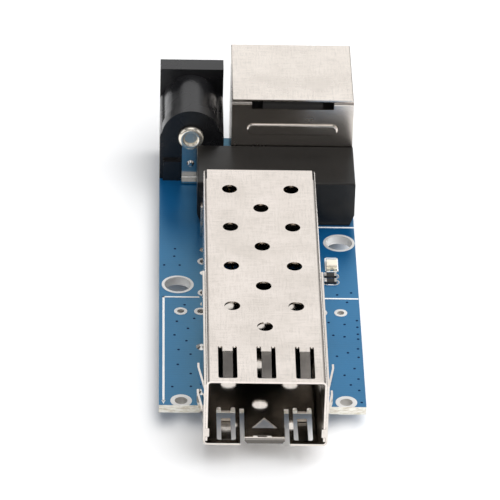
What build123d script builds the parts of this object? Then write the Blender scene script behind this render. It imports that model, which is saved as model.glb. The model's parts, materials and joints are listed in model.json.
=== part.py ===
"""Bare fibre media converter board: a pluggable optics cage at the front, an isolation
transformer behind it, and a network socket and a power socket side by side at the rear.

Millimetres. +X is to the right, +Y from the cage mouth to the rear sockets, +Z up.
The origin is under the middle of the whole object, on the surface that its lead tails stand on.
"""

from build123d import *
from math import cos, radians, sin, tan
import os

os.makedirs("parts", exist_ok=True)

# Leads, pads and solder
tail_drop = 2.0            # how far every trimmed lead stands out below the board
hole_clearance = 0.15      # radial room between a round lead and its hole
pad_border = 0.3           # width of the copper ring around a hole
pad_thickness = 0.04
solder_height = 0.7
solder_taper = 30

# Circuit board
board_thickness = 1.1
rear_overhang = 2.1        # the sockets stand out past the rear edge
connector_gap = 0.95       # between the two sockets
rj45_inset = 0.1           # from the board's right edge to the network socket

# Optics cage, two folded sheets
sheet = 0.25
cage_x = 0.1
cage_length = 48.9
cage_overhang = 8.7        # in front of the board
cage_inner_width = 14.0
cage_height = 9.55         # top face above the board
shell_gap = 0.03           # between the two sheets
floor_lift = 0.25          # underside of the cage floor above the board
wall_lift = 0.1            # foot of the upper shell's walls above the board
sheet_bend = 0.45          # radius of a fold at mid thickness
wrap_length = 25.2         # how far back the lower shell wraps the upper one
wrap_top_drop = 0.55       # top edge of that wrap below the cage top
floor_gap = 1.85           # from the floor's rear edge to the optics connector
corner_slit = 0.2          # relief between the top and each side wall, at the rear
corner_slit_length = 2.2
vent_radius = 0.975
vent_first = 11.97         # first vent behind the cage mouth
vent_pitch = 4.545
vent_side = 3.94
vent_rows = 8

# Spring fingers around the cage mouth
finger_width = 1.2
finger_slot = 0.55
finger_front = 0.75        # root of a finger behind the mouth
finger_slot_length = 6.9
finger_ramp = 4.7
finger_tip = 0.9
finger_rise = 0.75
finger_pitch = 4.67
side_finger_upper = 7.3    # heights of the side fingers above the board
side_finger_lower = 3.45
retainer_height = 2.05     # hooks that fold round the upper shell's front edge
retainer_width = 1.2
retainer_reach = 0.2

# Latch tongue in the cage floor
tongue_width = 4.9
tongue_slot = 0.55
tongue_root = 7.35         # root line behind the mouth
tongue_hinge_gap = 0.02
tongue_bend_start = 1.8
tongue_bend_radius = 0.5
tongue_lip_angle = 65.0
tongue_lip_length = 0.4
tongue_corner = 0.3
catch_width = 3.1
catch_front = 3.3
catch_length = 2.2

# Cage solder pins
pin_width = 0.7
base_pin_front = 3.0       # behind the board's front edge
base_pin_rear = 3.6        # in front of the lower shell's rear edge
cover_pin_places = (22.6, 29.9, 35.4)    # behind the board's front edge
spare_hole_places = (25.2, 32.6)
pin_hole_radius = 0.5
rear_leaf_height = 4.4
rear_leaf_length = 1.6
rear_slit = 0.15

# Optics edge connector inside the cage
optic_connector_width = 11.0
optic_connector_depth = 6.2
optic_connector_height = 5.8
optic_connector_gap = 2.2  # from the cage's rear wall
optic_slot_width = 9.4
optic_slot_height = 1.9
optic_slot_depth = 4.4
optic_slot_middle = 3.6    # above the board
optic_contact_pitch = 0.8
optic_contact_count = 10
optic_contact_width = 0.25
optic_contact_thickness = 0.2
optic_contact_inset = 0.6
optic_contact_bow = 0.45
optic_contact_anchor = 0.5
optic_contact_bend = 0.15
optic_tail_length = 0.9
optic_recess = 0.35
optic_chamfer = 0.5

# Unused footprint for a nine pin optical module
optic_pitch = 2.54
optic_count = 9
optic_row = 20.9           # behind the board's front edge
optic_x = 0.15
optic_hole_radius = 0.45
optic_pad_border = 0.38
post_spacing = 20.32
post_row = 0.95
post_hole_radius = 0.78
post_pad_border = 0.55

# Mounting holes
mount_radius = 1.75
mount_ring = 0.3
left_mount_inset = 2.38
left_mount_row = 27.1
right_mount_inset = 2.1
right_mount_row = 37.4

# Isolation transformer
transformer_width = 20.6
transformer_depth = 9.4
transformer_height = 6.4
transformer_gap = 1.5      # behind the cage
transformer_foot_taper = 0.6
transformer_foot_height = 1.6
transformer_edge = 0.2
transformer_pin_radius = 0.25
transformer_pin_pitch = 2.54
transformer_pin_columns = 8
transformer_pin_spread = 7.0
transformer_pin_bury = 0.8

# Network socket
rj45_width = 16.0
rj45_depth = 14.45
rj45_height = 13.4
rj45_gap = 0.1             # behind the transformer
rj45_skin = 0.25
rj45_bend = 0.6            # the rear wall's fold under the lid
rj45_corner = 0.2          # rounded side edges of the lid
rj45_fit = 0.05            # between shield and housing
plug_width = 12.0
plug_height = 6.9
plug_floor = 3.5           # bottom of the plug's body above the board
plug_depth = 11.3
latch_width = 6.4
latch_depth = 1.5
rib_length = 12.0
rib_width = 1.7
rib_height = 8.9
rib_rise = 0.3
rib_edge = 0.28
rear_window_width = 10.8
rear_window_height = 1.2
insert_lug_width = 7.9     # part of the insert that shows in the window
insert_pocket_width = 1.6  # beside the lug
insert_pocket_depth = 1.5
insert_pocket_height = 1.6
shield_tab_width = 1.2
shield_tab_spread = 13.8
shield_foot_lift = 0.3
wire_count = 8
wire_pitch = 1.02
wire_width = 0.45
wire_thickness = 0.35
wire_tail_rows = 2.54
wire_rear = 1.2            # first row of tails in front of the housing's rear face
wire_channel = 0.8
wire_bend = 0.3
wire_comb_room = 0.2
wire_front = 1.8           # turn of the wires behind the mouth
wire_slope = 22.0
wire_reach = 6.4
wire_run_height = 0.9      # where the second row runs back
peg_radius = 1.6
peg_spacing = 11.43
peg_place = 4.2            # behind the mouth
peg_chamfer = 0.4
peg_stand = 1.2            # length of a peg below the board

# Power socket
jack_width = 8.45
jack_height = 10.98
jack_flange = 2.63
jack_axis = 6.5            # bore axis above the board
jack_axis_inset = 4.1      # bore axis from the board's left edge
jack_length = 12.6
jack_barrel_radius = 3.62
jack_cap_radius = 3.88
jack_cap_length = 1.9
jack_shoulder = 7.5
jack_shoulder_round = 1.1
jack_foot_height = 2.9
jack_foot_step = 0.6
jack_foot_inset = 0.45
jack_foot_lift = 0.3
jack_bore_radius = 3.2
jack_bore_depth = 10.4
jack_pin_radius = 1.05
jack_pin_round = 0.6
jack_pin_recess = 1.2
jack_rivet_radius = 1.7
jack_rivet_height = 0.5
jack_rivet_edge = 0.45
jack_dimple_radius = 0.85
jack_dimple_depth = 0.4
jack_dimple_edge = 0.3
jack_strip_width = 2.3
jack_strip_thickness = 0.3
jack_strip_foot = 1.4      # length of the strip's fold along the board
jack_pip_radius = 0.5
jack_pip_height = 2.5      # of a pressed pip above the board
jack_pip_rise = 0.3
jack_pip_taper = 35
jack_pip_edge = 0.15
jack_tail_width = 1.3
jack_leaf_width = 2.6
jack_leaf_thickness = 0.3
jack_leaf_height = 2.4
jack_leaf_flat = 1.0
jack_leaf_crest = 3.6
jack_leaf_end = 4.6
jack_leaf_rise = 1.1
jack_leaf_tail = 5.2       # sleeve contact's tail behind the flange's front face
jack_switch_tail = 8.6
jack_switch_offset = 3.1
jack_slot_clearance = 0.15

# Small parts on the top face, beside the cage
led_inset = 3.25
led_row = 31.75
led_width = 1.35
led_length = 2.2
led_base_height = 0.35
led_lens_height = 0.45
led_lens_length = 1.5
led_lens_edge = 0.3
led_notch_radius = 0.25
chip_width = 0.8
chip_length = 1.6
chip_height = 0.33
chip_cap = 0.3
chip_skin = 0.02
resistor_inset = 3.5
resistor_rows = (28.05, 29.45)

# Parts on the underside
controller_size = 7.0
controller_height = 1.4
controller_row = 30.0
controller_lead_count = 12     # along each side
controller_lead_pitch = 0.5
controller_lead_width = 0.22
controller_lead_reach = 1.0
lead_thickness = 0.12
lead_bury = 0.3            # inside the moulded body
lead_knee = 0.45           # share of the reach before a lead turns to the board
body_lift = 0.1            # moulded bodies hang clear of the board
body_edge = 0.2
crystal_length = 5.0
crystal_width = 3.2
crystal_height = 1.1
crystal_row = 16.0
crystal_lid_step = 0.25
crystal_base_height = 0.45
crystal_round = 0.3
regulator_width = 6.5
regulator_depth = 3.5
regulator_height = 1.6
regulator_x = -1.5
regulator_row = 38.3
regulator_tab_width = 3.0
regulator_pin_width = 0.7
regulator_pin_pitch = 2.3
regulator_lead_reach = 1.7
memory_width = 4.9
memory_depth = 3.9
memory_height = 1.4
memory_x = -1.0
memory_row = 9.5
memory_lead_count = 4      # along each long side
memory_lead_pitch = 1.27
memory_lead_width = 0.42
memory_lead_reach = 1.0
inductor_size = 4.0
inductor_height = 1.7
inductor_x = -4.8
inductor_row = 46.4
inductor_flange = 0.4
inductor_chamfer = 0.6
inductor_winding = 1.55
inductor_core = 0.9
capacitor_height = 0.8
capacitor_places = (
    (-5.6, 26.5),
    (-5.6, 32.2),
    (5.6, 26.5),
    (5.6, 32.2),
    (4.2, 16.0),
    (-4.2, 16.0),
    (4.6, 38.5),
    (1.5, 46.4),
    (5.0, 46.4),
)

# Sizes that follow from the ones above
board_width = jack_width + connector_gap + rj45_width + rj45_inset
cage_on_board = cage_length - cage_overhang
board_length = cage_on_board + transformer_gap + transformer_depth + rj45_gap + rj45_depth - rear_overhang
overall_length = cage_overhang + board_length + rear_overhang

# Places that follow
board_top = tail_drop + board_thickness
cage_front = -overall_length / 2
board_front = cage_front + cage_overhang
board_rear = board_front + board_length
socket_mouth = board_rear + rear_overhang
board_left = -board_width / 2
board_right = board_width / 2
board_middle = (board_front + board_rear) / 2

cage_rear = cage_front + cage_length
optic_rear = cage_rear - sheet - optic_connector_gap
optic_front = optic_rear - optic_connector_depth
floor_rear = optic_front - floor_gap
cage_top = board_top + cage_height
floor_bottom = board_top + floor_lift
floor_top = floor_bottom + sheet
floor_middle = floor_bottom + sheet / 2
top_middle = cage_top - sheet / 2
cover_wall_x = cage_inner_width / 2 + sheet / 2
base_wall_x = cover_wall_x + sheet + shell_gap
wrap_rear = cage_front + wrap_length
wrap_top = cage_top - wrap_top_drop
finger_root_y = cage_front + finger_front
finger_slot_end = finger_root_y + finger_slot_length
finger_tip_y = finger_root_y + finger_ramp + finger_tip
retainer_z = board_top + retainer_height
hinge_y = cage_front + tongue_root

transformer_front = cage_rear + transformer_gap
transformer_middle_y = transformer_front + transformer_depth / 2
transformer_left = board_right - transformer_width
transformer_middle_x = (transformer_left + board_right) / 2

rj45_rear = socket_mouth - rj45_depth
rj45_right = board_right - rj45_inset
rj45_middle_x = rj45_right - rj45_width / 2
rj45_middle_y = (rj45_rear + socket_mouth) / 2
rj45_top = board_top + rj45_height

jack_x = board_left + jack_axis_inset
jack_axis_z = board_top + jack_axis
jack_rear = socket_mouth - jack_length
jack_flange_rear = socket_mouth - jack_flange
jack_block_x = board_left + jack_width / 2

mount_places = [
    (board_left + left_mount_inset, board_front + left_mount_row),
    (board_right - right_mount_inset, board_front + right_mount_row),
]
optic_places = [
    (optic_x + (i - (optic_count - 1) / 2) * optic_pitch, board_front + optic_row) for i in range(optic_count)
]
post_places = [(optic_x + side * post_spacing / 2, board_front + post_row) for side in (-1, 1)]
base_pins = [
    (cage_x + side * base_wall_x, y)
    for side in (-1, 1)
    for y in (board_front + base_pin_front, wrap_rear - base_pin_rear)
]
cover_pins = [
    (cage_x + side * cover_wall_x, board_front + place) for side in (-1, 1) for place in cover_pin_places
]
spare_holes = [
    (cage_x + side * cover_wall_x, board_front + place) for side in (-1, 1) for place in spare_hole_places
]
transformer_pins_at = [
    (
        transformer_middle_x + (i - (transformer_pin_columns - 1) / 2) * transformer_pin_pitch,
        transformer_middle_y + side * transformer_pin_spread / 2,
    )
    for i in range(transformer_pin_columns)
    for side in (-1, 1)
]
wire_xs = [rj45_middle_x + (i - (wire_count - 1) / 2) * wire_pitch for i in range(wire_count)]
wire_tail_y = rj45_rear + rj45_skin + rj45_fit + wire_rear
wire_tails = [
    (
        rj45_middle_x + (i - (wire_count - 1) / 2) * wire_pitch,
        wire_tail_y + (i % 2) * wire_tail_rows,
    )
    for i in range(wire_count)
]
peg_places = [(rj45_middle_x + side * peg_spacing / 2, socket_mouth - peg_place) for side in (-1, 1)]
shield_tabs = [
    (rj45_middle_x + side * shield_tab_spread / 2, rj45_rear + rj45_skin / 2) for side in (-1, 1)
]
jack_pin_tail = (jack_x, jack_rear - jack_strip_thickness / 2)
jack_sleeve_tail = (jack_x, socket_mouth - jack_leaf_tail)
jack_switch_tail_at = (jack_x + jack_switch_offset, socket_mouth - jack_switch_tail)
strip_foot_z = board_top + jack_strip_thickness
wire_hole_radius = wire_width / 2 + hole_clearance + pad_thickness
transformer_hole_radius = transformer_pin_radius + hole_clearance
peg_hole_radius = peg_radius + hole_clearance / 2
shield_hole_radius = shield_tab_width / 2 + hole_clearance / 2
jack_hole_length = jack_tail_width + 4 * jack_slot_clearance
jack_hole_width = jack_strip_thickness + 4 * jack_slot_clearance


# Circuit board, one routed and drilled laminate
with BuildPart() as circuit_board:
    with BuildSketch(Plane.XY.offset(tail_drop)):
        with Locations((0, board_middle)):
            Rectangle(board_width, board_length)
        with Locations(*mount_places):
            Circle(mount_radius, mode=Mode.SUBTRACT)
        with Locations(*optic_places):
            Circle(optic_hole_radius, mode=Mode.SUBTRACT)
        with Locations(*post_places):
            Circle(post_hole_radius, mode=Mode.SUBTRACT)
        with Locations(*base_pins, *cover_pins, *spare_holes):
            Circle(pin_hole_radius, mode=Mode.SUBTRACT)
        with Locations(*transformer_pins_at):
            Circle(transformer_hole_radius, mode=Mode.SUBTRACT)
        with Locations(*wire_tails):
            Circle(wire_hole_radius, mode=Mode.SUBTRACT)
        with Locations(*peg_places):
            Circle(peg_hole_radius, mode=Mode.SUBTRACT)
        with Locations(*shield_tabs):
            Circle(shield_hole_radius, mode=Mode.SUBTRACT)
        with Locations(jack_pin_tail, jack_sleeve_tail):
            SlotOverall(jack_hole_length, jack_hole_width, mode=Mode.SUBTRACT)
        with Locations(jack_switch_tail_at):
            SlotOverall(jack_hole_length, jack_hole_width, rotation=90, mode=Mode.SUBTRACT)
    extrude(amount=board_thickness)

circuit_board.part.label = "circuit_board"
export_step(circuit_board.part, "parts/circuit_board.step")


# Tinned copper rings on both faces around the holes that carry no lead
with BuildPart() as plated_rings:
    for level in (board_top, tail_drop - pad_thickness):
        with BuildSketch(Plane.XY.offset(level)):
            with Locations(*mount_places):
                Circle(mount_radius + mount_ring)
            with Locations(*optic_places):
                Circle(optic_hole_radius + optic_pad_border)
            with Locations(*post_places):
                Circle(post_hole_radius + post_pad_border)
            with Locations(*spare_holes):
                Circle(pin_hole_radius + pad_border)
            with Locations((0, board_middle)):
                Rectangle(board_width, board_length, mode=Mode.INTERSECT)
            with Locations(*mount_places):
                Circle(mount_radius, mode=Mode.SUBTRACT)
            with Locations(*optic_places):
                Circle(optic_hole_radius, mode=Mode.SUBTRACT)
            with Locations(*post_places):
                Circle(post_hole_radius, mode=Mode.SUBTRACT)
            with Locations(*spare_holes):
                Circle(pin_hole_radius, mode=Mode.SUBTRACT)
        extrude(amount=pad_thickness)

plated_rings.part.label = "plated_rings"
export_step(plated_rings.part, "parts/plated_rings.step")


# Upper cage shell, one folded sheet: top, side walls and rear wall with its own leaves
cover_foot = floor_top + sheet_bend - sheet / 2 + shell_gap
wall_foot = board_top + wall_lift
wall_end = cage_rear - sheet - rear_slit
rear_wall_width = 2 * (cover_wall_x - sheet_bend - rear_slit)

with BuildPart() as cage_cover:
    with BuildSketch(Plane.XZ.offset(-cage_front)):
        with BuildLine():
            FilletPolyline(
                (cage_x - cover_wall_x, cover_foot),
                (cage_x - cover_wall_x, top_middle),
                (cage_x + cover_wall_x, top_middle),
                (cage_x + cover_wall_x, cover_foot),
                radius=sheet_bend,
            )
        trace(line_width=sheet)
    extrude(amount=cage_front - wall_end)
    # The walls reach down to the board behind the lower shell
    with BuildSketch(Plane.XY.offset(wall_foot)):
        with Locations(
            *[(cage_x + side * cover_wall_x, (wrap_rear + shell_gap + wall_end) / 2) for side in (-1, 1)]
        ):
            Rectangle(sheet, wall_end - wrap_rear - shell_gap)
    extrude(amount=cover_foot + sheet_bend - wall_foot)
    # Rear wall, hanging from the top
    with BuildSketch(Plane.YZ.offset(cage_x)):
        with BuildLine():
            FilletPolyline(
                (wall_end - sheet_bend, top_middle),
                (cage_rear - sheet / 2, top_middle),
                (cage_rear - sheet / 2, wall_foot),
                radius=sheet_bend,
            )
        trace(line_width=sheet)
    extrude(amount=rear_wall_width / 2, both=True)
    # Leaves that fold forward from the rear wall, outside the side walls
    with BuildSketch(Plane.XY.offset(wall_foot)):
        with BuildLine():
            FilletPolyline(
                (cage_x - base_wall_x, cage_rear - rear_leaf_length),
                (cage_x - base_wall_x, cage_rear - sheet / 2),
                (cage_x + base_wall_x, cage_rear - sheet / 2),
                (cage_x + base_wall_x, cage_rear - rear_leaf_length),
                radius=sheet_bend,
            )
        trace(line_width=sheet)
    extrude(amount=rear_leaf_height)
    # Solder pins
    with Locations(*[(x, y, 0) for x, y in cover_pins]):
        Box(sheet, pin_width, cover_foot, align=(Align.CENTER, Align.CENTER, Align.MIN))
    # Vents, alternately one and two to a row
    with BuildSketch(Plane.XY.offset(cage_top)):
        for row in range(vent_rows):
            row_y = cage_front + vent_first + row * vent_pitch
            sides = (0,) if row % 2 == 0 else (-vent_side, vent_side)
            with Locations(*[(cage_x + side, row_y) for side in sides]):
                Circle(vent_radius)
    extrude(amount=-2 * sheet, mode=Mode.SUBTRACT)
    # Windows of the three top fingers
    with BuildSketch(Plane.XY.offset(cage_top)):
        for k in (-1, 0, 1):
            finger_x = cage_x + k * finger_pitch
            slot_offset = (finger_width + finger_slot) / 2
            with Locations(
                *[(finger_x + side * slot_offset, (finger_root_y + finger_slot_end) / 2) for side in (-1, 1)]
            ):
                SlotOverall(finger_slot_length, finger_slot, rotation=90)
            with Locations((finger_x, (finger_root_y + finger_tip_y + finger_slot) / 2)):
                Rectangle(finger_width + finger_slot, finger_tip_y + finger_slot - finger_root_y)
    extrude(amount=-2 * sheet, mode=Mode.SUBTRACT)
    # Top fingers, rooted at the front and lifting towards the rear
    for k in (-1, 0, 1):
        with BuildSketch(Plane.YZ.offset(cage_x + k * finger_pitch)):
            with BuildLine():
                FilletPolyline(
                    (cage_front + sheet, top_middle),
                    (finger_root_y, top_middle),
                    (finger_root_y + finger_ramp, top_middle + finger_rise),
                    (finger_tip_y, top_middle + finger_rise),
                    radius=1.0,
                )
            trace(line_width=sheet)
        extrude(amount=finger_width / 2, both=True)
    # Notches for the lower shell's hooks
    with Locations(*[(cage_x + side * cover_wall_x, cage_front, retainer_z) for side in (-1, 1)]):
        Box(2 * sheet, 2 * (sheet + shell_gap), retainer_width + 2 * shell_gap, mode=Mode.SUBTRACT)
    # Relief slits along the rear ends of the two top folds
    slit_x = cover_wall_x - sheet_bend / 2
    with Locations(*[(cage_x + side * slit_x, wall_end, cage_top) for side in (-1, 1)]):
        Box(
            corner_slit,
            corner_slit_length,
            2 * sheet_bend,
            align=(Align.CENTER, Align.MAX, Align.MAX),
            mode=Mode.SUBTRACT,
        )

cage_cover.part.label = "cage_cover"
export_step(cage_cover.part, "parts/cage_cover.step")


# Lower cage shell, one folded sheet: floor, and front walls that wrap the upper shell
with BuildPart() as cage_base:
    with BuildSketch(Plane.XZ.offset(-cage_front)):
        with BuildLine():
            FilletPolyline(
                (cage_x - base_wall_x, wrap_top),
                (cage_x - base_wall_x, floor_middle),
                (cage_x + base_wall_x, floor_middle),
                (cage_x + base_wall_x, wrap_top),
                radius=sheet_bend,
            )
        trace(line_width=sheet)
    extrude(amount=-wrap_length)
    # The floor runs on between the upper shell's walls
    with BuildSketch(Plane.XY.offset(floor_bottom)):
        with Locations((cage_x, (wrap_rear - sheet + floor_rear) / 2)):
            Rectangle(cage_inner_width - 2 * shell_gap, floor_rear - wrap_rear + sheet)
    extrude(amount=sheet)
    # Hooks over the upper shell's front edges
    for side in (-1, 1):
        with Locations((cage_x + side * (base_wall_x + sheet / 2), cage_front, retainer_z)):
            Box(
                2 * sheet + shell_gap + retainer_reach,
                sheet,
                retainer_width,
                align=(Align.MIN if side < 0 else Align.MAX, Align.MIN, Align.CENTER),
            )
    # Solder pins
    with Locations(*[(x, y, 0) for x, y in base_pins]):
        Box(sheet, pin_width, floor_top + sheet_bend, align=(Align.CENTER, Align.CENTER, Align.MIN))
    # Windows of the two floor fingers and the open bay of the latch tongue
    with BuildSketch(Plane.XY.offset(floor_top)):
        for k in (-1, 1):
            finger_x = cage_x + k * finger_pitch
            slot_offset = (finger_width + finger_slot) / 2
            with Locations(
                *[(finger_x + side * slot_offset, (finger_root_y + finger_slot_end) / 2) for side in (-1, 1)]
            ):
                SlotOverall(finger_slot_length, finger_slot, rotation=90)
            with Locations((finger_x, (finger_root_y + finger_tip_y + finger_slot) / 2)):
                Rectangle(finger_width + finger_slot, finger_tip_y + finger_slot - finger_root_y)
        with Locations((cage_x, (cage_front + hinge_y) / 2)):
            Rectangle(tongue_width + 2 * tongue_slot, tongue_root)
    extrude(amount=-2 * sheet, mode=Mode.SUBTRACT)
    # Floor fingers, rooted at the front and dropping towards the rear
    for k in (-1, 1):
        with BuildSketch(Plane.YZ.offset(cage_x + k * finger_pitch)):
            with BuildLine():
                FilletPolyline(
                    (cage_front + sheet, floor_middle),
                    (finger_root_y, floor_middle),
                    (finger_root_y + finger_ramp, floor_middle - finger_rise),
                    (finger_tip_y, floor_middle - finger_rise),
                    radius=1.0,
                )
            trace(line_width=sheet)
        extrude(amount=finger_width / 2, both=True)
    # Two fingers in each side wall, flaring outwards to the rear
    for side in (-1, 1):
        wall_x = cage_x + side * base_wall_x
        for height in (side_finger_lower, side_finger_upper):
            finger_z = board_top + height
            slot_offset = (finger_width + finger_slot) / 2
            slot_y = (finger_root_y + finger_slot_end) / 2
            with BuildSketch(Plane.YZ.offset(wall_x)):
                with Locations(*[(slot_y, finger_z + step * slot_offset) for step in (-1, 1)]):
                    SlotOverall(finger_slot_length, finger_slot)
                with Locations(((finger_root_y + finger_tip_y + finger_slot) / 2, finger_z)):
                    Rectangle(finger_tip_y + finger_slot - finger_root_y, finger_width + finger_slot)
            extrude(amount=sheet, both=True, mode=Mode.SUBTRACT)
            with BuildSketch(Plane.XY.offset(finger_z)):
                with BuildLine():
                    FilletPolyline(
                        (wall_x, cage_front + sheet),
                        (wall_x, finger_root_y),
                        (wall_x + side * finger_rise, finger_root_y + finger_ramp),
                        (wall_x + side * finger_rise, finger_tip_y),
                        radius=1.0,
                    )
                trace(line_width=sheet)
            extrude(amount=finger_width / 2, both=True)

cage_base.part.label = "cage_base"
export_step(cage_base.part, "parts/cage_base.step")


# Latch tongue, the sprung strip of the floor that catches a pluggable module
bend_tangent = tongue_bend_radius * tan(radians(tongue_lip_angle) / 2)
bend_corner_y = cage_front + tongue_bend_start - bend_tangent
lip_run = bend_tangent + tongue_lip_length

with BuildPart() as latch_tongue:
    with BuildSketch(Plane.YZ.offset(cage_x)):
        with BuildLine():
            FilletPolyline(
                (hinge_y - tongue_hinge_gap, floor_middle),
                (bend_corner_y, floor_middle),
                (
                    bend_corner_y - lip_run * cos(radians(tongue_lip_angle)),
                    floor_middle - lip_run * sin(radians(tongue_lip_angle)),
                ),
                radius=tongue_bend_radius,
            )
        trace(line_width=sheet)
    extrude(amount=tongue_width / 2, both=True)
    with BuildSketch(Plane.XY.offset(floor_top)):
        with BuildLine():
            Polyline(
                (cage_x - catch_width / 2, cage_front + catch_front),
                (cage_x + catch_width / 2, cage_front + catch_front),
                (cage_x, cage_front + catch_front + catch_length),
                close=True,
            )
        make_face()
    extrude(amount=-2 * sheet, mode=Mode.SUBTRACT)
    lip_face = latch_tongue.faces().sort_by(Axis.Z)[0]
    lip_corners = lip_face.edges().filter_by(Axis.X, reverse=True)
    chamfer(lip_corners, tongue_corner)

latch_tongue.part.label = "latch_tongue"
export_step(latch_tongue.part, "parts/latch_tongue.step")


# Contacts of the optics connector: upper row to the rear, lower row to the front
optic_middle_y = (optic_front + optic_rear) / 2
slot_middle_z = board_top + optic_slot_middle
slot_upper_z = slot_middle_z + optic_slot_height / 2
slot_lower_z = slot_middle_z - optic_slot_height / 2
foot_z = board_top + optic_contact_thickness / 2
card_z = optic_contact_bow + optic_contact_thickness / 2
contact_rear = optic_front + optic_slot_depth + optic_contact_anchor

with BuildPart() as optic_connector_contacts:
    for i in range(optic_contact_count):
        x = cage_x + (i - (optic_contact_count - 0.5) / 2) * optic_contact_pitch
        with BuildSketch(Plane.YZ.offset(x)):
            with BuildLine():
                FilletPolyline(
                    (optic_front + optic_contact_inset, slot_upper_z - optic_contact_thickness),
                    (optic_front + 2 * optic_contact_inset, slot_upper_z - card_z),
                    (optic_front + optic_slot_depth, slot_upper_z + optic_contact_anchor),
                    (optic_rear + optic_contact_thickness, slot_upper_z + optic_contact_anchor),
                    (optic_rear + optic_contact_thickness, foot_z),
                    (optic_rear + optic_tail_length + optic_contact_thickness, foot_z),
                    radius=optic_contact_bend,
                )
            trace(line_width=optic_contact_thickness)
        extrude(amount=optic_contact_width / 2, both=True)
        with BuildSketch(Plane.YZ.offset(x + optic_contact_pitch / 2)):
            with BuildLine():
                FilletPolyline(
                    (optic_front + optic_contact_inset, slot_lower_z + optic_contact_thickness),
                    (optic_front + 2 * optic_contact_inset, slot_lower_z + card_z),
                    (contact_rear - optic_contact_anchor, slot_lower_z - optic_contact_anchor),
                    (contact_rear, foot_z),
                    (optic_front - optic_tail_length, foot_z),
                    radius=optic_contact_bend,
                )
            trace(line_width=optic_contact_thickness)
        extrude(amount=optic_contact_width / 2, both=True)

optic_connector_contacts.part.label = "optic_connector_contacts"
export_step(optic_connector_contacts.part, "parts/optic_connector_contacts.step")


# Moulded body of the optics connector
with BuildPart() as optic_connector_housing:
    with Locations((cage_x, optic_middle_y, board_top)):
        Box(
            optic_connector_width,
            optic_connector_depth,
            optic_connector_height,
            align=(Align.CENTER, Align.CENTER, Align.MIN),
        )
    chamfer(optic_connector_housing.edges().filter_by(Axis.X).group_by(Axis.Z)[-1], optic_chamfer)
    with Locations((cage_x, optic_front, slot_middle_z)):
        Box(
            optic_slot_width,
            optic_slot_depth,
            optic_slot_height,
            align=(Align.CENTER, Align.MIN, Align.CENTER),
            mode=Mode.SUBTRACT,
        )
    # Recess over the solder feet
    with Locations((cage_x, optic_front, board_top)):
        Box(
            optic_slot_width,
            optic_connector_depth,
            optic_recess,
            align=(Align.CENTER, Align.MIN, Align.MIN),
            mode=Mode.SUBTRACT,
        )
    add(optic_connector_contacts.part, mode=Mode.SUBTRACT)

optic_connector_housing.part.label = "optic_connector_housing"
export_step(optic_connector_housing.part, "parts/optic_connector_housing.step")


# Eight sprung wires of the network socket
plug_top = board_top + plug_floor + plug_height
wire_top = plug_top + wire_channel
wire_turn_y = socket_mouth - wire_front
wire_run_z = board_top + wire_run_height

with BuildPart() as rj45_contacts:
    for i in range(wire_count):
        if i % 2 == 0:
            tail = [(wire_tail_y, 0)]
        else:
            tail = [
                (wire_tail_y + wire_tail_rows, 0),
                (wire_tail_y + wire_tail_rows, wire_run_z),
                (wire_tail_y, wire_run_z),
            ]
        with BuildSketch(Plane.YZ.offset(wire_xs[i])):
            with BuildLine():
                FilletPolyline(
                    *tail,
                    (wire_tail_y, wire_top),
                    (wire_turn_y, wire_top),
                    (
                        wire_turn_y - wire_reach * cos(radians(wire_slope)),
                        wire_top - wire_reach * sin(radians(wire_slope)),
                    ),
                    radius=wire_bend,
                )
            trace(line_width=wire_thickness)
        extrude(amount=wire_width / 2, both=True)

rj45_contacts.part.label = "rj45_contacts"
export_step(rj45_contacts.part, "parts/rj45_contacts.step")


# Folded shield of the network socket: the rear wall folds forward under the lid
inner_width = rj45_width - 2 * rj45_skin
inner_top = rj45_top - 2 * rj45_skin
lid_bottom = rj45_top - rj45_skin
shield_foot = board_top + shield_foot_lift

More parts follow.
